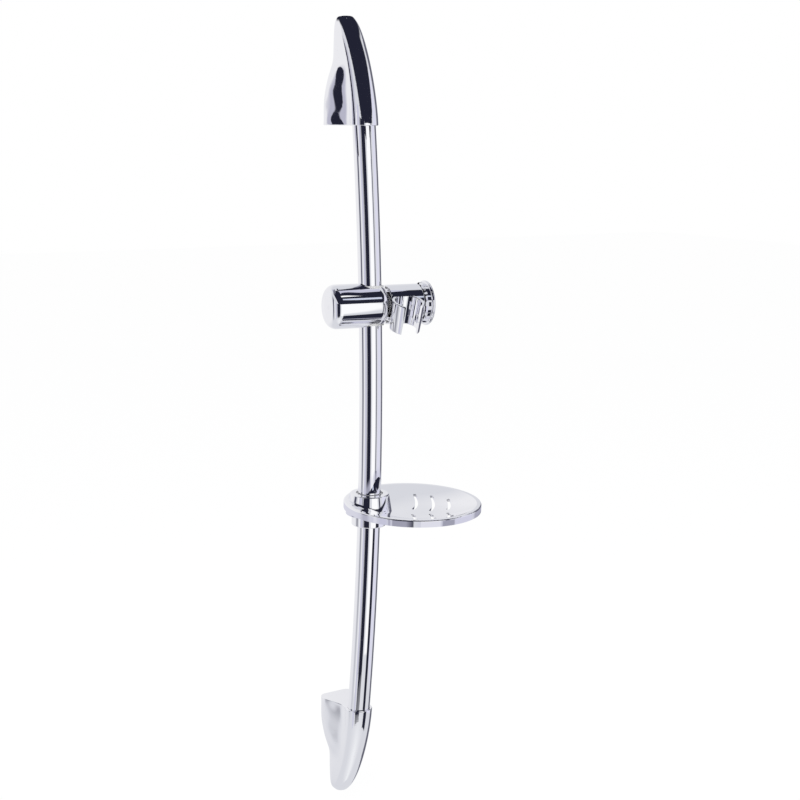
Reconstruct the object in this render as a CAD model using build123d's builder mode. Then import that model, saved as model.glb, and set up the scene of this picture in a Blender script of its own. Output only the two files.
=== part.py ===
from build123d import *
import os
from math import asin, cos, degrees, radians, sin, sqrt

# Bowed shower slide rail: a chromed tube held off the wall by two finned brackets,
# with a clamping handset slider and a round soap dish that both ride on the tube.
# The wall is the plane Y = 0, the room is on the -Y side, and Z = 0 is half way up.

# Clearances
RUN_GAP = 0.3
SEAT_GAP = 0.1
PRESS_GAP = 0.02

# Rail: round tube bent to one shallow arc, bulging into the room
RAIL_DIAMETER = 20.0
RAIL_WALL = 1.0
RAIL_CHORD = 521.0
RAIL_BOW = 15.5
RAIL_STANDOFF = 45.0
RAIL_SOCKET_DEPTH = 18.0
PLUG_LENGTH = 10.0
PLUG_FLANGE = 2.0

# Wall brackets: fin-shaped castings that taper to a round tip against the wall
BRACKET_HEIGHT = 93.5
BRACKET_BOSS_RADIUS = 12.2
BRACKET_TIP_REACH = 15.0
BRACKET_REACH_POWER = 1.48
BRACKET_REACH_ROUND = 0.66
BRACKET_TIP_TAPER = 0.23
BRACKET_TIP_POWER = 18
BRACKET_WING_HALF = 16.8
BRACKET_WING_SHARE = 0.575
BRACKET_WING_POWER = 3.5
BRACKET_NECK_ANGLE = 26.0
BRACKET_BACK_ROUND = 0.42
BRACKET_EGG_ROUND = 0.9
BRACKET_EGG_DEPTH = 0.62
BRACKET_EGG_START = 0.22
BRACKET_EGG_END = 0.7
BRACKET_TIP_LIFT = 6.3
BRACKET_LIFT_POWER = 5
BRACKET_STATIONS = (0.0, 0.12, 0.25, 0.37, 0.48, 0.58, 0.68, 0.78, 0.87, 0.94, 0.98)
CORNER_HANDLE = 0.552
TIP_ROUND = 4.2
MOUTH_ROUND = 0.6

# Wall blocks: moulded blocks that are screwed to the wall and carry the brackets
BLOCK_WIDTH = 13.0
BLOCK_HEIGHT = 30.0
BLOCK_DEPTH = 13.0
BLOCK_RISE = 5.0
BLOCK_CORNER = 2.0
SCREW_HEAD_ROOM = 4.0
WALL_HOLE_DIAMETER = 5.0
WALL_HOLE_SINK = 9.0
GRUB_DIAMETER = 4.0
GRUB_LENGTH = 6.0
GRUB_RISE = 14.0
GRUB_KEY = 2.0
GRUB_KEY_DEPTH = 2.5

# Handset slider: a cross barrel that the rail runs through
SLIDER_HEIGHT = 109.0
SLIDER_TURN = 9.0
BARREL_RADIUS = 19.0
BARREL_LEFT = 31.0
BARREL_RIGHT = 12.5
BARREL_RIGHT_ROUND = 9.0
BARREL_POCKET_RADIUS = 15.5
BARREL_POCKET_END = 15.0
CAP_THICKNESS = 9.0
CAP_ROUND = 8.0
CAP_SPIGOT = 6.0
CAP_SPIGOT_WALL = 2.5
CAP_DOME = 2.0
CAP_EDGE_SLOPE = 0.1
BUSH_WALL = 1.2
BUSH_SPLIT = 1.6
BUSH_HALF_LENGTH = 17.0
SPIGOT_RADIUS = 8.0
SPIGOT_END = 32.0

# Clamp: a screw in the knob drives a shoe against the liner
SHOE_RADIUS = 5.0
SHOE_END = 19.9
SHOE_TRAVEL = 1.0
CLAMP_SCREW_DIAMETER = 6.0
CLAMP_SCREW_END = 50.0

# Handset holder: a drum on the barrel's spigot with a slotted conical cup in front
DRUM_RADIUS = 17.0
DRUM_LENGTH = 31.0
DRUM_EDGE_ROUND = 1.0
WASHER_THICKNESS = 0.8
WASHER_RADIUS = 9.8
CUP_TILT = 22.0
CUP_ALONG = 12.1
CUP_FORWARD = 19.0
CUP_DROP = 8.3
CUP_LENGTH = 26.5
CUP_TOP_RADIUS = 14.2
CUP_BOTTOM_RADIUS = 13.2
CUP_BORE_TOP = 11.4
CUP_BORE_BOTTOM = 10.4
CUP_SLOT_WIDTH = 15.0
CUP_EDGE_ROUND = 0.9

# Lock knob: castellated grip with a beaded rim
KNOB_WIDTH = 8.0
KNOB_BEVEL = 1.2
KNOB_WASHER_RADIUS = 9.0
KNOB_RADIUS = 19.5
KNOB_RIM_WIDTH = 3.4
KNOB_GRIP_RADIUS = 18.0
KNOB_NOTCHES = 12
KNOB_NOTCH_WIDTH = 3.6
KNOB_NOTCH_DEPTH = 2.4
KNOB_NOTCH_STOP = 0.4
KNOB_DOME = 1.5
KNOB_EDGE_SLOPE = 0.2

# Soap dish: shallow round bowl with a conical hub round the rail
DISH_HEIGHT = -62.0
DISH_TURN = 35.0
DISH_RADIUS = 60.5
DISH_OFFSET = 38.0
DISH_RIM_WIDTH = 4.0
DISH_RIM_LIP = 6.0
DISH_RIM_ROUND = 1.2
DISH_LIP_WALL = 1.8
DISH_DEPTH = 10.0
DISH_WALL = 2.4
DISH_FLOOR_RADIUS = 12.0
HUB_RISE = 6.0
HUB_TOP_RADIUS = 17.0
HUB_BASE_RADIUS = 20.5
HUB_EDGE_ROUND = 1.2
SLOT_WIDTH = 2.8
SLOT_ARC_RADIUS = 55.0
SLOT_BULGES = (41.2, 56.4, 70.5)
SLOT_MIDDLES = (25.0, 22.0, 17.0)
SLOT_HALVES = (16.0, 16.0, 11.0)
COLLAR_RADIUS = 15.2
COLLAR_HEIGHT = 10.0
COLLAR_ROUND = 0.8
SLEEVE_DROP = 1.0
SET_SCREW_DIAMETER = 4.0
SET_SCREW_RECESS = 0.4
SET_SCREW_KEY_DEPTH = 1.6

os.makedirs("parts", exist_ok=True)

# The rail's arc, and planes square to it
half_chord = RAIL_CHORD / 2
arc_radius = (half_chord**2 + RAIL_BOW**2) / (2 * RAIL_BOW)
arc_centre_y = arc_radius - RAIL_STANDOFF - RAIL_BOW
rail_radius = RAIL_DIAMETER / 2
bush_bore = rail_radius + RUN_GAP
bush_radius = bush_bore + BUSH_WALL
arc_axis = Axis((0, arc_centre_y, 0), (-1, 0, 0))


def rail_angle(height):
    """Angle at the arc's centre, in degrees, of the point of the rail at a height."""
    return degrees(asin(height / arc_radius))


def rail_plane(height, turn=0.0):
    """Plane square to the rail at a height, with its x axis turned into the room."""
    lean = radians(rail_angle(height))
    swing = radians(turn)
    middle = (0, arc_centre_y - arc_radius * cos(lean), height)
    x_dir = (cos(swing), -sin(swing) * cos(lean), sin(swing) * sin(lean))
    return Plane(origin=middle, x_dir=x_dir, z_dir=(0, sin(lean), cos(lean)))


def bar_along_rail(low, high, radius, mode=Mode.ADD):
    """Round bar that follows the rail's arc between two heights."""
    with BuildSketch(rail_plane(low)) as section:
        Circle(radius)
    sweep_angle = rail_angle(high) - rail_angle(low)
    revolve(section.sketch, axis=arc_axis, revolution_arc=sweep_angle, mode=mode)


# Rail tube, open at both ends inside the brackets
rail_end = half_chord + RAIL_SOCKET_DEPTH
with BuildPart() as rail_tube:
    bar_along_rail(-rail_end, rail_end, rail_radius)
    bar_along_rail(-rail_end, rail_end, rail_radius - RAIL_WALL, Mode.SUBTRACT)
rail_tube.part.label = "rail_tube"
export_step(rail_tube.part, "parts/rail_tube.step")

# Rail plugs: moulded stoppers pressed into the two ends of the tube
with BuildPart() as upper_rail_plug:
    with BuildSketch(rail_plane(rail_end)):
        Circle(rail_radius - RAIL_WALL - PRESS_GAP)
    extrude(amount=-PLUG_LENGTH)
    with BuildSketch(rail_plane(rail_end)):
        Circle(rail_radius)
    extrude(amount=PLUG_FLANGE)
upper_rail_plug.part.label = "upper_rail_plug"
export_step(upper_rail_plug.part, "parts/upper_rail_plug.step")

with BuildPart() as lower_rail_plug:
    mirror(upper_rail_plug.part, about=Plane.XY)
lower_rail_plug.part.label = "lower_rail_plug"
export_step(lower_rail_plug.part, "parts/lower_rail_plug.step")


# Brackets: a loft of plan sections. At the mouth each has a flat back, two flared wings
# with hollow flanks and a round nose for the rail; further up it turns into an egg shape
# whose back lifts off the wall towards the tip
def bracket_reach(share):
    """How far the nose stands off the wall at a share of the bracket's height."""
    run = RAIL_STANDOFF + BRACKET_BOSS_RADIUS - BRACKET_TIP_REACH
    return BRACKET_TIP_REACH + run * (1 - share**BRACKET_REACH_POWER) ** BRACKET_REACH_ROUND


def bracket_nose(share):
    """Radius of the nose at a share of the bracket's height."""
    tip_fade = sqrt(1 - share**BRACKET_TIP_POWER)
    return BRACKET_BOSS_RADIUS * (1 - BRACKET_TIP_TAPER * share) * tip_fade


def bracket_wing(share):
    """Half width of the wings at a share of the bracket's height."""
    fade = max(0.0, 1 - (share / BRACKET_WING_SHARE) ** BRACKET_WING_POWER)
    return bracket_nose(share) + (BRACKET_WING_HALF - BRACKET_BOSS_RADIUS) * fade


def bracket_egg(share):
    """How far the section has turned from winged to egg-shaped, from 0 to 1."""
    run = (share - BRACKET_EGG_START) / (BRACKET_EGG_END - BRACKET_EGG_START)
    return (1 - cos(radians(180 * min(1.0, max(0.0, run))))) / 2


block_room = BLOCK_DEPTH + SCREW_HEAD_ROOM
block_middle = half_chord + BLOCK_RISE + BLOCK_HEIGHT / 2
grub_height = half_chord + GRUB_RISE
grub_depth = BLOCK_DEPTH / 2
grub_start = (BLOCK_WIDTH / 2, -grub_depth, grub_height)
grub_face = Plane(origin=grub_start, x_dir=(0, 1, 0), z_dir=(1, 0, 0))
socket_end = rail_end + PLUG_FLANGE + RUN_GAP
pocket_width = BLOCK_WIDTH + 2 * SEAT_GAP
pocket_height = BLOCK_HEIGHT + 2 * SEAT_GAP

with BuildPart() as upper_bracket:
    for share in BRACKET_STATIONS:
        reach = bracket_reach(share)
        nose = bracket_nose(share)
        wing = bracket_wing(share)
        egg = bracket_egg(share)
        back = -BRACKET_TIP_LIFT * share**BRACKET_LIFT_POWER
        neck = radians(BRACKET_NECK_ANGLE * max(0.0, 1 - share / BRACKET_WING_SHARE))
        neck_x = nose * cos(neck)
        neck_y = nose * (1 + sin(neck)) - reach
        flat = wing * (1 - BRACKET_BACK_ROUND - (BRACKET_EGG_ROUND - BRACKET_BACK_ROUND) * egg)
        egg_depth = BRACKET_EGG_DEPTH * (reach - nose + back)
        corner = back - BRACKET_BACK_ROUND * wing * (1 - egg) - egg_depth * egg
        bend_x = flat + (wing - flat) * CORNER_HANDLE
        bend_y = corner + (back - corner) * CORNER_HANDLE
        with BuildSketch(Plane.XY.offset(half_chord + share * BRACKET_HEIGHT)):
            with BuildLine():
                Line((-flat, back), (flat, back))
                Bezier((flat, back), (bend_x, back), (wing, bend_y), (wing, corner))
                Spline((wing, corner), (neck_x, neck_y), tangents=((0, -1), (sin(neck), -cos(neck))))
                ThreePointArc((neck_x, neck_y), (0, -reach), (-neck_x, neck_y))
                Spline((-neck_x, neck_y), (-wing, corner), tangents=((sin(neck), cos(neck)), (0, 1)))
                Bezier((-wing, corner), (-wing, bend_y), (-bend_x, back), (-flat, back))
            make_face()
    loft()
    fillet(upper_bracket.faces().sort_by(Axis.Z)[-1].edges(), TIP_ROUND)
    fillet(upper_bracket.faces().sort_by(Axis.Z)[0].edges(), MOUTH_ROUND)
    bar_along_rail(half_chord - RAIL_SOCKET_DEPTH, socket_end, rail_radius + SEAT_GAP, Mode.SUBTRACT)
    with BuildSketch(Plane.XZ):
        with Locations((0, block_middle)):
            RectangleRounded(pocket_width, pocket_height, BLOCK_CORNER + SEAT_GAP)
    extrude(amount=block_room, mode=Mode.SUBTRACT)
    with BuildSketch(grub_face):
        Circle(GRUB_DIAMETER / 2 + PRESS_GAP)
    extrude(amount=BRACKET_WING_HALF, mode=Mode.SUBTRACT)
upper_bracket.part.label = "upper_bracket"
export_step(upper_bracket.part, "parts/upper_bracket.step")

with BuildPart() as lower_bracket:
    mirror(upper_bracket.part, about=Plane.XY)
lower_bracket.part.label = "lower_bracket"
export_step(lower_bracket.part, "parts/lower_bracket.step")

# Wall blocks: one countersunk screw hole each, hidden behind the brackets
with BuildPart() as upper_wall_block:
    with BuildSketch(Plane.XZ):
        with Locations((0, block_middle)):
            RectangleRounded(BLOCK_WIDTH, BLOCK_HEIGHT, BLOCK_CORNER)
    extrude(amount=BLOCK_DEPTH)
    with Locations(Plane(origin=(0, -BLOCK_DEPTH, block_middle), x_dir=(1, 0, 0), z_dir=(0, -1, 0))):
        CounterSinkHole(WALL_HOLE_DIAMETER / 2, WALL_HOLE_SINK / 2)
upper_wall_block.part.label = "upper_wall_block"
export_step(upper_wall_block.part, "parts/upper_wall_block.step")

with BuildPart() as lower_wall_block:
    mirror(upper_wall_block.part, about=Plane.XY)
lower_wall_block.part.label = "lower_wall_block"
export_step(lower_wall_block.part, "parts/lower_wall_block.step")

# Grub screws: one through each bracket's right wing, bearing on the wall block
with BuildPart() as bracket_grub_screws:
    with BuildSketch(grub_face):
        Circle(GRUB_DIAMETER / 2)
    extrude(amount=GRUB_LENGTH)
    with BuildSketch(grub_face.offset(GRUB_LENGTH)):
        RegularPolygon(GRUB_KEY / 2, 6, major_radius=False)
    extrude(amount=-GRUB_KEY_DEPTH, mode=Mode.SUBTRACT)
    mirror(about=Plane.XY)
bracket_grub_screws.part.label = "bracket_grub_screws"
export_step(bracket_grub_screws.part, "parts/bracket_grub_screws.step")

# Slider: sections are drawn along the barrel's axis, with the radius upwards
slider_plane = rail_plane(SLIDER_HEIGHT, SLIDER_TURN)
barrel_section = Plane(slider_plane.origin, x_dir=slider_plane.x_dir, z_dir=-slider_plane.y_dir)
barrel_axis = Axis(slider_plane.origin, slider_plane.x_dir)


def barrel_plane(along):
    """Plane square to the barrel's axis, facing right, at a distance from the rail."""
    start = slider_plane.origin + slider_plane.x_dir * along
    return Plane(start, x_dir=slider_plane.y_dir, z_dir=slider_plane.x_dir)


# Slider bush: thin split liner that runs on the rail and is squeezed by the shoe
with BuildPart() as slider_bush:
    with BuildSketch(slider_plane):
        Circle(bush_radius)
        Circle(bush_bore, mode=Mode.SUBTRACT)
        with Locations((-bush_radius, 0)):
            Rectangle(bush_radius, BUSH_SPLIT, mode=Mode.SUBTRACT)
    extrude(amount=BUSH_HALF_LENGTH, both=True)
slider_bush.part.label = "slider_bush"
export_step(slider_bush.part, "parts/slider_bush.step")

# Slider barrel: turned shell, bored across for the bush, with a spigot for the holder
shoe_room = SHOE_END + SHOE_TRAVEL + RUN_GAP
cap_left = BARREL_LEFT + CAP_THICKNESS
cap_shoulder = BARREL_RADIUS - CAP_ROUND
with BuildPart() as slider_barrel:
    with BuildSketch(barrel_section):
        with BuildLine():
            outline = Polyline(
                (-BARREL_LEFT, 0),
                (-BARREL_LEFT, BARREL_RADIUS),
                (BARREL_RIGHT, BARREL_RADIUS),
                (BARREL_RIGHT, SPIGOT_RADIUS),
                (SPIGOT_END, SPIGOT_RADIUS),
                (SPIGOT_END, 0),
                close=True,
            )
        make_face()
        shoulder = outline.vertices().sort_by_distance((BARREL_RIGHT, BARREL_RADIUS))[0]
        fillet(shoulder, BARREL_RIGHT_ROUND)
    revolve(axis=barrel_axis)
    with BuildSketch(barrel_plane(-BARREL_LEFT)):
        Circle(BARREL_POCKET_RADIUS)
    extrude(amount=BARREL_LEFT - BARREL_POCKET_END, mode=Mode.SUBTRACT)
    with BuildSketch(slider_plane):
        Circle(bush_radius + RUN_GAP)
    extrude(amount=BARREL_RADIUS * 2, both=True, mode=Mode.SUBTRACT)
    with BuildSketch(barrel_plane(0)):
        Circle(SHOE_RADIUS + RUN_GAP)
    extrude(amount=shoe_room, mode=Mode.SUBTRACT)
    with BuildSketch(barrel_plane(0)):
        Circle(CLAMP_SCREW_DIAMETER / 2 + SEAT_GAP)
    extrude(amount=SPIGOT_END * 2, mode=Mode.SUBTRACT)
slider_barrel.part.label = "slider_barrel"
export_step(slider_barrel.part, "parts/slider_barrel.step")

# End cap: round-shouldered dome pressed into the barrel's left end
with BuildPart() as slider_end_cap:
    with BuildSketch(barrel_section):
        with BuildLine():
            Line((-BARREL_LEFT, 0), (-BARREL_LEFT, BARREL_RADIUS))
            Line((-BARREL_LEFT, BARREL_RADIUS), (CAP_ROUND - cap_left, BARREL_RADIUS))
            RadiusArc((CAP_ROUND - cap_left, BARREL_RADIUS), (-cap_left, cap_shoulder), -CAP_ROUND)
            Spline(
                (-cap_left, cap_shoulder),
                (-cap_left - CAP_DOME, 0),
                tangents=((-CAP_EDGE_SLOPE, -1), (0, -1)),
            )
            Line((-cap_left - CAP_DOME, 0), (-BARREL_LEFT, 0))
        make_face()
    revolve(axis=barrel_axis)
    with BuildSketch(barrel_plane(-BARREL_LEFT)):
        Circle(BARREL_POCKET_RADIUS - PRESS_GAP)
        Circle(BARREL_POCKET_RADIUS - CAP_SPIGOT_WALL, mode=Mode.SUBTRACT)
    extrude(amount=CAP_SPIGOT)
slider_end_cap.part.label = "slider_end_cap"
export_step(slider_end_cap.part, "parts/slider_end_cap.step")

# Brake shoe: round pad with a hollowed face that squeezes the liner onto the rail
with BuildPart() as brake_shoe:
    with BuildSketch(barrel_plane(0)):
        Circle(SHOE_RADIUS)
    extrude(amount=SHOE_END)
    with BuildSketch(slider_plane):
        Circle(bush_radius + RUN_GAP)
    extrude(amount=BARREL_RADIUS, both=True, mode=Mode.SUBTRACT)
brake_shoe.part.label = "brake_shoe"
export_step(brake_shoe.part, "parts/brake_shoe.step")

# Clamp screw: stud moulded into the knob and threaded through the spigot
with BuildPart() as clamp_screw:
    with BuildSketch(barrel_plane(SHOE_END + PRESS_GAP)):
        Circle(CLAMP_SCREW_DIAMETER / 2)
    extrude(amount=CLAMP_SCREW_END - SHOE_END - PRESS_GAP)
clamp_screw.part.label = "clamp_screw"
export_step(clamp_screw.part, "parts/clamp_screw.step")

# Friction washer, between the barrel's end and the holder
with BuildPart() as friction_washer:
    with BuildSketch(barrel_plane(BARREL_RIGHT)):
        Circle(WASHER_RADIUS)
        Circle(SPIGOT_RADIUS + SEAT_GAP, mode=Mode.SUBTRACT)
    extrude(amount=WASHER_THICKNESS)
friction_washer.part.label = "friction_washer"
export_step(friction_washer.part, "parts/friction_washer.step")

# Handset holder: drum on the spigot, with the slotted cup leaning out in front of it
drum_left = BARREL_RIGHT + WASHER_THICKNESS + SEAT_GAP
drum_right = drum_left + DRUM_LENGTH
cup_middle = (
    slider_plane.origin
    + slider_plane.x_dir * (drum_left + CUP_ALONG)
    - slider_plane.y_dir * CUP_FORWARD
    - slider_plane.z_dir * CUP_DROP
)
cup_lean = radians(CUP_TILT)
cup_axis = slider_plane.z_dir * cos(cup_lean) - slider_plane.y_dir * sin(cup_lean)
cup_plane = Plane(cup_middle, x_dir=slider_plane.x_dir, z_dir=cup_axis)
cup_section = Plane(cup_middle, x_dir=slider_plane.x_dir, z_dir=-cup_plane.y_dir)
cup_half = CUP_LENGTH / 2
with BuildPart() as handset_holder:
    with BuildSketch(barrel_plane(drum_left)):
        Circle(DRUM_RADIUS)
    extrude(amount=DRUM_LENGTH)
    fillet(handset_holder.edges().filter_by(GeomType.CIRCLE), DRUM_EDGE_ROUND)
    with BuildSketch(cup_plane.offset(-cup_half)):
        Circle(CUP_BOTTOM_RADIUS - CUP_EDGE_ROUND)
    with BuildSketch(cup_plane.offset(cup_half)):
        Circle(CUP_TOP_RADIUS - CUP_EDGE_ROUND)
    loft(mode=Mode.SUBTRACT)
    with BuildSketch(cup_section):
        with BuildLine():
            wall = Polyline(
                (CUP_BORE_BOTTOM, -cup_half),
                (CUP_BOTTOM_RADIUS, -cup_half),
                (CUP_TOP_RADIUS, cup_half),
                (CUP_BORE_TOP, cup_half),
                close=True,
            )
        make_face()
        fillet(wall.vertices(), CUP_EDGE_ROUND)
    revolve(axis=Axis(cup_middle, cup_axis))
    with BuildSketch(cup_plane.offset(-CUP_LENGTH)):
        with Locations((0, -CUP_TOP_RADIUS)):
            Rectangle(CUP_SLOT_WIDTH, 2 * CUP_TOP_RADIUS)
    extrude(amount=2 * CUP_LENGTH, mode=Mode.SUBTRACT)
    with BuildSketch(barrel_plane(0)):
        Circle(SPIGOT_RADIUS + RUN_GAP)
    extrude(amount=SPIGOT_END + RUN_GAP, mode=Mode.SUBTRACT)
    with BuildSketch(barrel_plane(0)):
        Circle(CLAMP_SCREW_DIAMETER / 2 + RUN_GAP)
    extrude(amount=2 * drum_right, mode=Mode.SUBTRACT)
handset_holder.part.label = "handset_holder"
export_step(handset_holder.part, "parts/handset_holder.step")

# Knob washer, between the holder and the knob
with BuildPart() as knob_washer:
    with BuildSketch(barrel_plane(drum_right + SEAT_GAP)):
        Circle(KNOB_WASHER_RADIUS)
        Circle(CLAMP_SCREW_DIAMETER / 2 + PRESS_GAP, mode=Mode.SUBTRACT)
    extrude(amount=WASHER_THICKNESS)
knob_washer.part.label = "knob_washer"
export_step(knob_washer.part, "parts/knob_washer.step")

# Lock knob: notched grip behind a beaded rim, with a gently domed face
knob_left = drum_right + SEAT_GAP + WASHER_THICKNESS
knob_right = knob_left + KNOB_WIDTH
knob_rim = knob_right - KNOB_RIM_WIDTH
with BuildPart() as lock_knob:
    with BuildSketch(barrel_section):
        with BuildLine():
            Polyline(
                (knob_left, 0),
                (knob_left, KNOB_GRIP_RADIUS - KNOB_BEVEL),
                (knob_left + KNOB_BEVEL, KNOB_GRIP_RADIUS),
                (knob_rim, KNOB_GRIP_RADIUS),
            )
            ThreePointArc(
                (knob_rim, KNOB_GRIP_RADIUS),
                (knob_rim + KNOB_RIM_WIDTH / 2, KNOB_RADIUS),
                (knob_right, KNOB_GRIP_RADIUS),
            )
            Spline(
                (knob_right, KNOB_GRIP_RADIUS),
                (knob_right + KNOB_DOME, 0),
                tangents=((KNOB_EDGE_SLOPE, -1), (0, -1)),
            )
            Line((knob_right + KNOB_DOME, 0), (knob_left, 0))
        make_face()
    revolve(axis=barrel_axis)
    with BuildSketch(barrel_plane(knob_left)):
        with PolarLocations(KNOB_GRIP_RADIUS, KNOB_NOTCHES):
            Rectangle(2 * KNOB_NOTCH_DEPTH, KNOB_NOTCH_WIDTH)
    extrude(amount=knob_rim - knob_left - KNOB_NOTCH_STOP, mode=Mode.SUBTRACT)
    with BuildSketch(barrel_plane(knob_left)):
        Circle(CLAMP_SCREW_DIAMETER / 2 + PRESS_GAP)
    extrude(amount=CLAMP_SCREW_END - knob_left + PRESS_GAP, mode=Mode.SUBTRACT)
lock_knob.part.label = "lock_knob"
export_step(lock_knob.part, "parts/lock_knob.step")

# Soap dish: a revolved bowl whose hub stands round the rail near one edge of the rim
dish_plane = rail_plane(DISH_HEIGHT, DISH_TURN)
bowl_middle = dish_plane.origin + dish_plane.x_dir * DISH_OFFSET
bowl_section = Plane(bowl_middle, x_dir=dish_plane.x_dir, z_dir=-dish_plane.y_dir)
bowl_base = DISH_DEPTH + DISH_WALL
rim_inner = DISH_RADIUS - DISH_RIM_WIDTH
wall_run = rim_inner - DISH_FLOOR_RADIUS
wall_curve = (wall_run**2 + DISH_DEPTH**2) / (2 * DISH_DEPTH)
outer_curve = wall_curve + DISH_WALL
outer_reach = DISH_FLOOR_RADIUS + sqrt(outer_curve**2 - (DISH_DEPTH - wall_curve - DISH_WALL) ** 2)
slot_lines = []
for bulge, slot_middle, slot_half in zip(SLOT_BULGES, SLOT_MIDDLES, SLOT_HALVES):
    slot_centre = (bulge - SLOT_ARC_RADIUS, slot_middle)
    slot_swing = degrees(asin(slot_half / SLOT_ARC_RADIUS))
    slot_lines.append(CenterArc(slot_centre, SLOT_ARC_RADIUS, -slot_swing, 2 * slot_swing))
with BuildPart() as soap_dish:
    with BuildSketch(bowl_section):
        with BuildLine():
            Line((0, -DISH_DEPTH), (DISH_FLOOR_RADIUS, -DISH_DEPTH))
            TangentArc((DISH_FLOOR_RADIUS, -DISH_DEPTH), (rim_inner, 0), tangent=(1, 0))
            Line((rim_inner, 0), (DISH_RADIUS - DISH_RIM_ROUND, 0))
            RadiusArc((DISH_RADIUS - DISH_RIM_ROUND, 0), (DISH_RADIUS, -DISH_RIM_ROUND), DISH_RIM_ROUND)
            Polyline(
                (DISH_RADIUS, -DISH_RIM_ROUND),
                (DISH_RADIUS, -DISH_RIM_LIP),
                (DISH_RADIUS - DISH_LIP_WALL, -DISH_RIM_LIP),
                (DISH_RADIUS - DISH_LIP_WALL, -DISH_WALL),
                (outer_reach, -DISH_WALL),
            )
            TangentArc((DISH_FLOOR_RADIUS, -bowl_base), (outer_reach, -DISH_WALL), tangent=(1, 0))
            Polyline((DISH_FLOOR_RADIUS, -bowl_base), (0, -bowl_base), (0, -DISH_DEPTH))
        make_face()
    revolve(axis=Axis(bowl_middle, dish_plane.z_dir))
    with BuildSketch(dish_plane.offset(-bowl_base)):
        Circle(HUB_BASE_RADIUS)
    with BuildSketch(dish_plane.offset(HUB_RISE)):
        Circle(HUB_TOP_RADIUS)
    loft()
    top_edges = soap_dish.edges().filter_by(GeomType.CIRCLE).group_by(Axis.Z)[-1]
    fillet(top_edges, HUB_EDGE_ROUND)
    with BuildSketch(dish_plane.offset(-bowl_base)):
        Circle(bush_radius + RUN_GAP)
    extrude(amount=bowl_base + 2 * HUB_RISE, mode=Mode.SUBTRACT)
    with BuildSketch(dish_plane.offset(-bowl_base)):
        for slot_line in slot_lines:
            SlotArc(slot_line, SLOT_WIDTH)
        mirror(about=Plane.XZ)
    extrude(amount=bowl_base, mode=Mode.SUBTRACT)
soap_dish.part.label = "soap_dish"
export_step(soap_dish.part, "parts/soap_dish.step")

# Dish sleeve: moulded liner that grips the rail and lets the dish swing round it
collar_top = -bowl_base - SEAT_GAP
collar_bottom = collar_top - COLLAR_HEIGHT
set_screw_height = collar_top - COLLAR_HEIGHT / 2
set_screw_plane = Plane(
    dish_plane.origin + dish_plane.z_dir * set_screw_height,
    x_dir=dish_plane.y_dir,
    z_dir=-dish_plane.x_dir,
)
with BuildPart() as dish_sleeve:
    with BuildSketch(dish_plane.offset(collar_bottom)):
        Circle(bush_radius)
        Circle(bush_bore, mode=Mode.SUBTRACT)
    extrude(amount=HUB_RISE - SLEEVE_DROP - collar_bottom)
    with BuildSketch(set_screw_plane):
        Circle(SET_SCREW_DIAMETER / 2 + PRESS_GAP)
    extrude(amount=COLLAR_RADIUS, mode=Mode.SUBTRACT)
dish_sleeve.part.label = "dish_sleeve"
export_step(dish_sleeve.part, "parts/dish_sleeve.step")

# Dish collar: ring on the sleeve's foot that the dish rests on
with BuildPart() as dish_collar:
    with BuildSketch(dish_plane.offset(collar_bottom)):
        Circle(COLLAR_RADIUS)
    extrude(amount=COLLAR_HEIGHT)
    fillet(dish_collar.edges().filter_by(GeomType.CIRCLE), COLLAR_ROUND)
    with BuildSketch(dish_plane.offset(collar_bottom)):
        Circle(bush_radius + PRESS_GAP)
    extrude(amount=COLLAR_HEIGHT, mode=Mode.SUBTRACT)
    with BuildSketch(set_screw_plane):
        Circle(SET_SCREW_DIAMETER / 2 + PRESS_GAP)
    extrude(amount=2 * COLLAR_RADIUS, mode=Mode.SUBTRACT)
dish_collar.part.label = "dish_collar"
export_step(dish_collar.part, "parts/dish_collar.step")

# Set screw: locks the collar and sleeve on the rail from behind
with BuildPart() as dish_set_screw:
    with BuildSketch(set_screw_plane.offset(bush_bore)):
        Circle(SET_SCREW_DIAMETER / 2)
    extrude(amount=COLLAR_RADIUS - SET_SCREW_RECESS - bush_bore)
    with BuildSketch(set_screw_plane.offset(COLLAR_RADIUS - SET_SCREW_RECESS)):
        RegularPolygon(GRUB_KEY / 2, 6, major_radius=False)
    extrude(amount=-SET_SCREW_KEY_DEPTH, mode=Mode.SUBTRACT)
dish_set_screw.part.label = "dish_set_screw"
export_step(dish_set_screw.part, "parts/dish_set_screw.step")
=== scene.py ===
from math import cos, radians, sin

import bmesh
import bpy
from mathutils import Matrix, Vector


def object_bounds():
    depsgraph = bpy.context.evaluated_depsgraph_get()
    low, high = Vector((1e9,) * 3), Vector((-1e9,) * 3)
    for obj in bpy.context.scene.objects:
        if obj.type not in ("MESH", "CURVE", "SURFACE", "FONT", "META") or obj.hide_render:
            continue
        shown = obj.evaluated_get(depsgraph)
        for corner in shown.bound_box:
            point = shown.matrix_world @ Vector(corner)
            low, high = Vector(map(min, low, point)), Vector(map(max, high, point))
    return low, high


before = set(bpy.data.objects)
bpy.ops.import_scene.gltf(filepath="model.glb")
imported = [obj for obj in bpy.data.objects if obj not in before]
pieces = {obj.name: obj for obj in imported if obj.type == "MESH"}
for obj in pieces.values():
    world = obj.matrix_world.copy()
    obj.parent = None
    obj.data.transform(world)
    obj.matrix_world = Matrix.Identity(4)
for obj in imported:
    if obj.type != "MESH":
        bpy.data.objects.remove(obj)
cad_low, cad_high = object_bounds()


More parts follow.
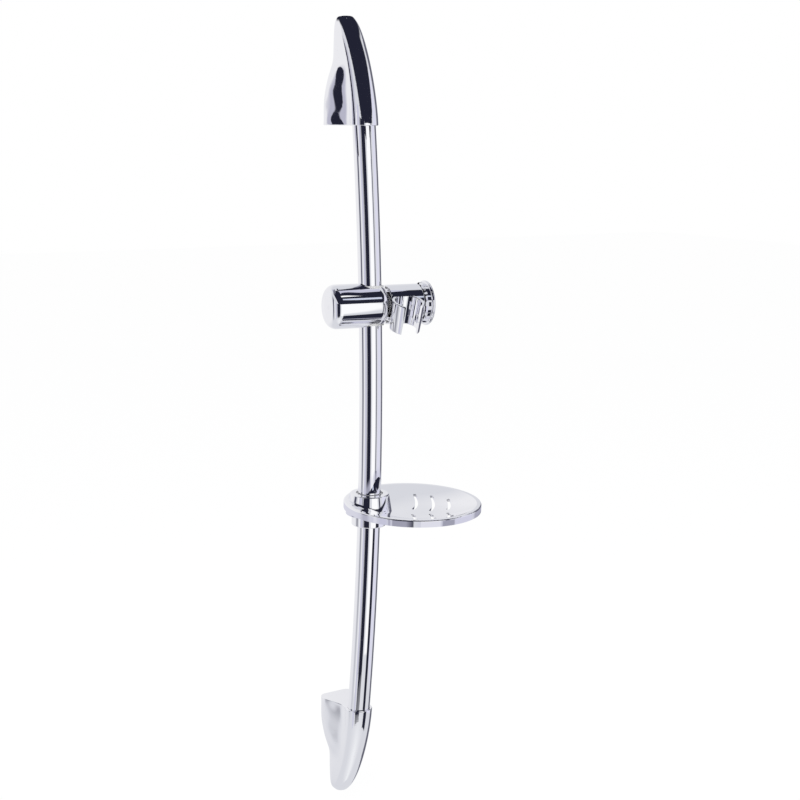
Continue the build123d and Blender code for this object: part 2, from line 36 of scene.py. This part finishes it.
# Wall blocks: grey moulded blocks that are screwed to the wall, one countersunk hole in each.
# They are out of sight in the brackets, and only their backs show from behind.
def moulded_plastic(name, tint, sheen_rough, grain_size, grain_depth):
    """Moulded plastic: even colour with a slight flow mottle and the fine texture of the mould."""
    finish = bpy.data.materials.new(name)
    finish.use_nodes = True
    nodes = finish.node_tree.nodes
    links = finish.node_tree.links
    shader = nodes["Principled BSDF"]
    shader.inputs["Roughness"].default_value = sheen_rough
    shader.inputs["IOR"].default_value = 1.47
    place = nodes.new("ShaderNodeTexCoord")
    flow = nodes.new("ShaderNodeTexNoise")
    flow.inputs["Scale"].default_value = 45
    flow.inputs["Detail"].default_value = 3
    links.new(place.outputs["Object"], flow.inputs["Vector"])
    shade = nodes.new("ShaderNodeValToRGB")
    shade.color_ramp.elements[0].position = 0.3
    shade.color_ramp.elements[0].color = (*[part * 0.9 for part in tint], 1)
    shade.color_ramp.elements[1].position = 0.7
    shade.color_ramp.elements[1].color = (*tint, 1)
    links.new(flow.outputs["Fac"], shade.inputs["Fac"])
    links.new(shade.outputs["Color"], shader.inputs["Base Color"])
    grain = nodes.new("ShaderNodeTexNoise")
    grain.inputs["Scale"].default_value = grain_size
    grain.inputs["Detail"].default_value = 2
    links.new(place.outputs["Object"], grain.inputs["Vector"])
    surface = nodes.new("ShaderNodeBump")
    surface.inputs["Strength"].default_value = grain_depth
    surface.inputs["Distance"].default_value = 0.0002
    links.new(grain.outputs["Fac"], surface.inputs["Height"])
    links.new(surface.outputs["Normal"], shader.inputs["Normal"])
    return finish


def finish_piece(name, finish):
    """Gives one piece of the frame its finish."""
    pieces[name].material_slots[0].material = finish


block_plastic = moulded_plastic("block_plastic", (0.32, 0.32, 0.34), 0.55, 1500, 0.4)
finish_piece("upper_wall_block", block_plastic)
finish_piece("lower_wall_block", block_plastic)


# Wall brackets: finned castings, polished and chromed, that swallow the tube's ends and
# taper to a round tip. Each slips over a wall block and is held by a grub screw.
def chrome_plate(name, tint, haze, ripple, grain):
    """Bright plate: a mirror with a trace of haze and the slight ripple of what lies under it."""
    finish = bpy.data.materials.new(name)
    finish.use_nodes = True
    nodes = finish.node_tree.nodes
    links = finish.node_tree.links
    shader = nodes["Principled BSDF"]
    shader.inputs["Base Color"].default_value = (*tint, 1)
    shader.inputs["Metallic"].default_value = 1
    place = nodes.new("ShaderNodeTexCoord")
    stretch = nodes.new("ShaderNodeMapping")
    stretch.inputs["Scale"].default_value = grain
    links.new(place.outputs["Object"], stretch.inputs["Vector"])
    bloom = nodes.new("ShaderNodeTexNoise")
    bloom.inputs["Scale"].default_value = 60
    bloom.inputs["Detail"].default_value = 5
    links.new(stretch.outputs["Vector"], bloom.inputs["Vector"])
    spread = nodes.new("ShaderNodeMapRange")
    spread.inputs["From Min"].default_value = 0.3
    spread.inputs["From Max"].default_value = 0.7
    spread.inputs["To Min"].default_value = haze * 0.5
    spread.inputs["To Max"].default_value = haze * 1.5
    links.new(bloom.outputs["Fac"], spread.inputs["Value"])
    links.new(spread.outputs["Result"], shader.inputs["Roughness"])
    wave = nodes.new("ShaderNodeTexNoise")
    wave.inputs["Scale"].default_value = 30
    wave.inputs["Detail"].default_value = 1
    links.new(stretch.outputs["Vector"], wave.inputs["Vector"])
    surface = nodes.new("ShaderNodeBump")
    surface.inputs["Strength"].default_value = ripple
    surface.inputs["Distance"].default_value = 0.0004
    links.new(wave.outputs["Fac"], surface.inputs["Height"])
    links.new(surface.outputs["Normal"], shader.inputs["Normal"])
    return finish


chrome = (0.93, 0.93, 0.95)
bracket_plate = chrome_plate("bracket_plate", chrome, 0.04, 0.08, (1, 1, 1))
finish_piece("upper_bracket", bracket_plate)
finish_piece("lower_bracket", bracket_plate)


# Bracket grub screws: small stainless screws with a hexagon socket. They are turned, so the
# haze is fine and even, and each goes through a bracket's right wing onto its wall block.
screw_steel = chrome_plate("screw_steel", (0.62, 0.61, 0.6), 0.3, 0.2, (4, 4, 4))
finish_piece("bracket_grub_screws", screw_steel)


# Rail tube: a steel tube bent to one shallow bow and plated with bright chrome after
# bending. Polishing runs along the tube, so its ripple is drawn out lengthwise.
tube_plate = chrome_plate("tube_plate", chrome, 0.03, 0.04, (1, 1, 0.15))
finish_piece("rail_tube", tube_plate)


# Rail plugs: grey moulded stoppers pressed into the tube's ends, out of sight in the brackets.
# A thin flange on each covers the cut edge of the tube.
plug_plastic = moulded_plastic("plug_plastic", (0.34, 0.34, 0.36), 0.5, 1800, 0.3)
finish_piece("upper_rail_plug", plug_plastic)
finish_piece("lower_rail_plug", plug_plastic)


# Slider barrel and end cap: plastic mouldings with chrome plate, the cap pressed into the
# barrel. The plate follows the moulding, so it ripples a touch more than plate on metal.
slider_plate = chrome_plate("slider_plate", chrome, 0.035, 0.1, (1, 1, 1))
finish_piece("slider_barrel", slider_plate)
finish_piece("slider_end_cap", slider_plate)


# Slider liner: a split sleeve of natural white plastic, pushed into the barrel. Its edge
# shows as a pale crescent where the tube enters.
liner_plastic = moulded_plastic("liner_plastic", (0.8, 0.8, 0.8), 0.35, 2500, 0.15)
finish_piece("slider_bush", liner_plastic)


# Brake shoe and clamp screw: a black rubber pad that squeezes the liner on the tube, and the
# stainless screw behind it. The knob drives them, and neither shows.
shoe_rubber = moulded_plastic("shoe_rubber", (0.03, 0.03, 0.03), 0.7, 2200, 0.5)
finish_piece("brake_shoe", shoe_rubber)
finish_piece("clamp_screw", screw_steel)


# Handset holder and lock knob: plated mouldings like the barrel. The holder turns on the
# barrel's spigot between two plain washers, and the knob sits outside it on the clamp screw.
finish_piece("handset_holder", slider_plate)
finish_piece("lock_knob", slider_plate)
finish_piece("friction_washer", liner_plastic)
finish_piece("knob_washer", liner_plastic)


# Soap dish: one plated moulding with a turned-down rim, curved drain slots and a conical hub.
# It sits on a plated collar, with a white liner inside and a set screw to hold it on the tube.
dish_plate = chrome_plate("dish_plate", chrome, 0.035, 0.1, (1, 1, 1))
finish_piece("soap_dish", dish_plate)
finish_piece("dish_collar", dish_plate)
finish_piece("dish_sleeve", liner_plastic)
finish_piece("dish_set_screw", screw_steel)


# Floor: a plain pale sheet lying just under the rail. The camera sees it almost as white as
# the backdrop, with room for a faint shadow.
floor_drop = 0.02
floor_size = 6
floor_glow = 0.9
floor_shape = bmesh.new()
bmesh.ops.create_grid(floor_shape, x_segments=1, y_segments=1, size=floor_size)
bmesh.ops.translate(floor_shape, verts=floor_shape.verts, vec=(0, 0, cad_low[2] - floor_drop))
floor_mesh = bpy.data.meshes.new("studio_floor")
floor_shape.to_mesh(floor_mesh)
floor_shape.free()
floor = bpy.data.objects.new("studio_floor", floor_mesh)
bpy.context.scene.collection.objects.link(floor)
floor.visible_glossy = False
pale = bpy.data.materials.new("studio_pale")
pale.use_nodes = True
nodes = pale.node_tree.nodes
links = pale.node_tree.links
nodes["Principled BSDF"].inputs["Base Color"].default_value = (0.9, 0.9, 0.9, 1)
nodes["Principled BSDF"].inputs["Roughness"].default_value = 0.9
glow = nodes.new("ShaderNodeEmission")
glow.inputs["Color"].default_value = (1, 1, 1, 1)
glow.inputs["Strength"].default_value = 1.05
ray = nodes.new("ShaderNodeLightPath")
keep_shadow = nodes.new("ShaderNodeMath")
keep_shadow.operation = "MULTIPLY"
keep_shadow.inputs[1].default_value = floor_glow
links.new(ray.outputs["Is Camera Ray"], keep_shadow.inputs[0])
choose = nodes.new("ShaderNodeMixShader")
links.new(keep_shadow.outputs["Value"], choose.inputs["Fac"])
links.new(nodes["Principled BSDF"].outputs["BSDF"], choose.inputs[1])
links.new(glow.outputs["Emission"], choose.inputs[2])
links.new(choose.outputs["Shader"], nodes["Material Output"].inputs["Surface"])
floor_mesh.materials.append(pale)


# Studio tent and cards: a pale tent all round, with white, lavender and dark navy sheets
# inside it for the plate to mirror. Only mirror rays see them, and they light nothing.
def mirror_only(name, shape, tint):
    """Stands a sheet in the studio that shows only in the plate, thinning out where it fades."""
    mesh = bpy.data.meshes.new(name)
    shape.to_mesh(mesh)
    shape.free()
    card = bpy.data.objects.new(name, mesh)
    bpy.context.scene.collection.objects.link(card)
    card.visible_camera = False
    card.visible_diffuse = False
    card.visible_transmission = False
    card.visible_shadow = False
    sheet = bpy.data.materials.new(name)
    sheet.use_nodes = True
    nodes = sheet.node_tree.nodes
    links = sheet.node_tree.links
    nodes.remove(nodes["Principled BSDF"])
    colour = nodes.new("ShaderNodeEmission")
    colour.inputs["Color"].default_value = (*tint, 1)
    clear = nodes.new("ShaderNodeBsdfTransparent")
    fullness = nodes.new("ShaderNodeAttribute")
    fullness.attribute_name = "fullness"
    cloth = nodes.new("ShaderNodeMixShader")
    links.new(fullness.outputs["Fac"], cloth.inputs["Fac"])
    links.new(clear.outputs["BSDF"], cloth.inputs[1])
    links.new(colour.outputs["Emission"], cloth.inputs[2])
    links.new(cloth.outputs["Shader"], nodes["Material Output"].inputs["Surface"])
    mesh.materials.append(sheet)


camera_side = 31.5
rail_middle = (0, -0.055)
card_columns = 40


def studio_card(name, tint, soft, rows, middle=rail_middle):
    """Sheet bent round the rail, row by row from its low edge up, with soft side edges.

    A row is (reach, height, start, end, fullness). Start and end are degrees to the right of
    the camera's side, and soft is the share of the width that fades on either side."""
    shape = bmesh.new()
    bmesh.ops.create_grid(shape, x_segments=card_columns, y_segments=len(rows) - 1, size=1)
    fade = shape.verts.layers.float.new("fullness")
    for corner in shape.verts:
        along = (corner.co.x + 1) / 2
        upward = (corner.co.y + 1) / 2
        reach, height, start, end, fullness = rows[round(upward * (len(rows) - 1))]
        turn = radians(camera_side - start - (end - start) * along)
        corner.co = (middle[0] - reach * sin(turn), middle[1] - reach * cos(turn), height)
        corner[fade] = fullness * min(1, along / soft, (1 - along) / soft)
    mirror_only(name, shape, tint)


def upright_card(name, tint, soft, reach, heights, start, end):
    """Sheet with upright sides and hard top and bottom edges."""
    studio_card(name, tint, soft, [(reach, height, start, end, 1) for height in heights])


tent = bmesh.new()
bmesh.ops.create_uvsphere(tent, u_segments=48, v_segments=24, radius=3)
full = tent.verts.layers.float.new("fullness")
for corner in tent.verts:
    corner[full] = 1
mirror_only("studio_tent", tent, (0.72, 0.73, 0.77))

white = (1.05, 1.05, 1.05)
lavender = (0.6, 0.6, 0.73)
pale_lavender = (0.76, 0.76, 0.88)
dusk = (0.07, 0.07, 0.11)
navy = (0.017, 0.018, 0.034)

# Sheets to the left of the camera, from behind the wall round to the front
left_reach = 1.3
grey_reach = 1.25
front_reach = 1.2
back_rows = [
    (left_reach, -1.3, -190, -94, 0),
    (left_reach, -0.4, -190, -94, 1),
    (left_reach, 0.7, -190, -94, 1),
    (left_reach, 1.5, -190, -94, 0),
]
studio_card("card_back", (0.88, 0.88, 0.9), 0.15, back_rows)
left_rows = [
    (left_reach, -1.0, -96, -74, 0),
    (left_reach, -0.15, -96, -74, 1),
    (left_reach, 0.5, -96, -74, 1),
    (left_reach, 0.7, -104, -82, 0),
]
studio_card("card_left_dusk", dusk, 0.32, left_rows)
upright_card("card_left_white", (0.95, 0.95, 0.97), 0.2, left_reach, (-0.9, 0.5), -68, -60)
upright_card("card_left_soft", lavender, 0.2, left_reach, (-1.2, 0.6), -58, -41)
upright_card("card_front_grey", (0.2, 0.2, 0.26), 0.3, grey_reach, (-0.9, 0.5), -41, -35)
upright_card("card_front_navy", navy, 0.05, front_reach, (-1.2, 0.49), -34, 3)

# Sheets to the right of the camera, from the front round to the wall
upright_card("card_front_white", white, 0.05, front_reach, (-0.9, 0.47), 13, 47)
upright_card("card_right_seam", (0.05, 0.05, 0.08), 0.15, front_reach, (-0.9, 0.49), 53, 62)
right_rows = [(front_reach, -0.9, 65, 114, 1), (front_reach, 0.9, 78, 114, 1)]
studio_card("card_right_soft", pale_lavender, 0.1, right_rows)
upright_card("card_right_grey", (0.13, 0.13, 0.17), 0.15, front_reach, (-1.5, 1.0), 117, 162)

# Low sheets: a dark one close by on the right, and a pale one spread under the rail
low_reach = 0.45
low_rows = [
    (low_reach, -0.7, 40, 74, 1),
    (low_reach, -0.3, 42, 70, 1),
    (low_reach, -0.15, 50, 70, 1),
]
studio_card("card_low_dark", navy, 0.08, low_rows)
under_rows = [(0.1, -1.3, -70, 60, 1), (0.6, -1.2, -70, 60, 1), (1.3, -0.9, -70, 60, 0)]
studio_card("card_under", (0.9, 0.91, 0.93), 0.45, under_rows)

# Roof: dark over the front, with one pale slot in it and a skylight to the right
eaves_reach = 0.85
eaves = 2.0
top_reach = 0.05
roof_top = 2.2
slot_reach = 1.15
roof_rows = [
    (front_reach, 0.49, -22, 70, 1),
    (front_reach, 1.05, -92, 105, 1),
    (eaves_reach, eaves, -106, 120, 1),
]
studio_card("card_roof", navy, 0.03, roof_rows)
top_rows = [(eaves_reach, eaves, -106, 62, 1), (top_reach, roof_top, -180, 62, 1)]
studio_card("card_roof_top", navy, 0.03, top_rows)
skylight_rows = [(eaves_reach, eaves, 58, 130, 1), (top_reach, roof_top, 58, 180, 1)]
studio_card("card_skylight", lavender, 0.05, skylight_rows)
slot_rows = [(slot_reach, 0.9, 47, 58, 1), (slot_reach, 1.45, 47, 60, 1)]
studio_card("card_slot", (0.66, 0.7, 0.84), 0.15, slot_rows)


def box_of(name):
    """Lowest and highest corner of one piece of the frame."""
    corners = list(zip(*pieces[name].bound_box))
    return [min(side) for side in corners], [max(side) for side in corners]


# Shade: a small dark cap held over the upper bracket's tip
bracket_low, bracket_high = box_of("upper_bracket")
mouth = bracket_low[2]
tip = bracket_high[2]
tip_middle = (0, -0.012)
shade_rows = [
    (0.054, tip + 0.014, 0, 360, 0),
    (0.05, tip + 0.022, 0, 360, 1),
    (0.03, tip + 0.048, 0, 360, 1),
    (0, tip + 0.058, 0, 360, 1),
]
studio_card("card_shade", navy, 0.01, shade_rows, tip_middle)

# Visor and brow: dark sheets before the bracket's ridge and close to its mouth, with a white
# one behind the brow for the end of the tube
mouth_middle = (0, -0.046)
visor_reach = 0.12
brow_reach = 0.03
white_reach = 0.11
visor_rows = [(visor_reach, mouth + 0.035, 0, 62, 1), (visor_reach, mouth + 0.211, 0, 92, 1)]
studio_card("card_visor", navy, 0.05, visor_rows)
brow_rows = [(brow_reach, mouth + 0.0044, 0, 57, 1), (brow_reach, mouth + 0.0264, 0, 57, 1)]
studio_card("card_brow", navy, 0.05, brow_rows, mouth_middle)
white_heights = (mouth - 0.009, mouth + 0.034)
upright_card("card_mouth_white", white, 0.05, white_reach, white_heights, 14, 49)

# Panel and strip: a grey lavender sheet beside the bracket's left wing, and a slanting dark
# strip before it that shows as the line in the wing's hollow
panel_reach = 0.16
strip_reach = 0.15
panel_rows = [
    (panel_reach, mouth - 0.024, -116, -64, 0),
    (panel_reach, mouth - 0.009, -116, -64, 1),
    (panel_reach, mouth + 0.081, -116, -70, 1),
    (panel_reach, mouth + 0.121, -116, -80, 0),
]
studio_card("card_panel", (0.5, 0.5, 0.6), 0.25, panel_rows)
strip_rows = [
    (strip_reach, mouth - 0.019, -86.5, -68, 1),
    (strip_reach, mouth + 0.086, -115, -98, 1),
    (strip_reach, mouth + 0.097, -118, -101, 0),
]
studio_card("card_strip", navy, 0.08, strip_rows)

# Ring: a thin lavender veil round the soap dish, which softens what its rim mirrors
dish_low, dish_high = box_of("soap_dish")
dish_middle = ((dish_low[0] + dish_high[0]) / 2, (dish_low[1] + dish_high[1]) / 2)
ring_gap = 0.0355
ring_reach = (dish_high[0] - dish_low[0]) / 2 + ring_gap
veil = 0.6
ring_rows = [
    (ring_reach, dish_low[2] - 0.0146, 0, 360, 0),
    (ring_reach, dish_low[2] - 0.0096, 0, 360, veil),
    (ring_reach, dish_low[2] + 0.0054, 0, 360, veil),
    (ring_reach, dish_low[2] + 0.0134, 0, 360, 0),
]
studio_card("card_ring", lavender, 0.01, ring_rows, dish_middle)


# World: a plain white backdrop for the camera and for mirror and see-through rays.
# Everything else gets a soft grey fill from it.
world = bpy.data.worlds.new("studio_world")
bpy.context.scene.world = world
world.use_nodes = True
nodes = world.node_tree.nodes
links = world.node_tree.links
backdrop = nodes["Background"]
backdrop.inputs["Color"].default_value = (1, 1, 1, 1)
backdrop.inputs["Strength"].default_value = 1
fill = nodes.new("ShaderNodeBackground")
fill.inputs["Color"].default_value = (0.9, 0.9, 0.92, 1)
fill.inputs["Strength"].default_value = 0.5
ray = nodes.new("ShaderNodeLightPath")
seen = nodes.new("ShaderNodeMath")
seen.operation = "MAXIMUM"
links.new(ray.outputs["Is Camera Ray"], seen.inputs[0])
links.new(ray.outputs["Is Glossy Ray"], seen.inputs[1])
seen_too = nodes.new("ShaderNodeMath")
seen_too.operation = "MAXIMUM"
links.new(seen.outputs["Value"], seen_too.inputs[0])
links.new(ray.outputs["Is Transmission Ray"], seen_too.inputs[1])
choose = nodes.new("ShaderNodeMixShader")
links.new(seen_too.outputs["Value"], choose.inputs["Fac"])
links.new(fill.outputs["Background"], choose.inputs[1])
links.new(backdrop.outputs["Background"], choose.inputs[2])
links.new(choose.outputs["Shader"], nodes["World Output"].inputs["Surface"])


# Lamps: one large soft key from the upper left and a weaker fill from the right. Mirror rays
# don't see them, so the plate mirrors the cards and the tent instead.
lamp_size = 1.2
lamp_aim = Vector((0, -0.05, 0))
for name, place, power in (("key_lamp", (-1.2, -1.4, 1.4), 22), ("fill_lamp", (1.5, -1.2, 0.5), 9)):
    lamp_data = bpy.data.lights.new(name, "AREA")
    lamp_data.energy = power
    lamp_data.size = lamp_size
    lamp = bpy.data.objects.new(name, lamp_data)
    bpy.context.scene.collection.objects.link(lamp)
    lamp.location = place
    lamp.rotation_euler = (lamp_aim - lamp.location).to_track_quat("-Z", "Y").to_euler()
    lamp.visible_glossy = False


# Camera: at the photograph's angle, from the rail's left and level with its upper part,
# looking slightly down.
camera_data = bpy.data.cameras.new("camera")
camera_data.lens = 65.3
camera_data.sensor_width = 36
camera = bpy.data.objects.new("camera", camera_data)
bpy.context.scene.collection.objects.link(camera)
camera.location = (-0.6533, -1.1107, 0.2567)
camera.rotation_euler = (radians(79.482), radians(-0.793), radians(-32.905))
bpy.context.scene.camera = camera
bpy.context.scene.view_settings.view_transform = "Standard"
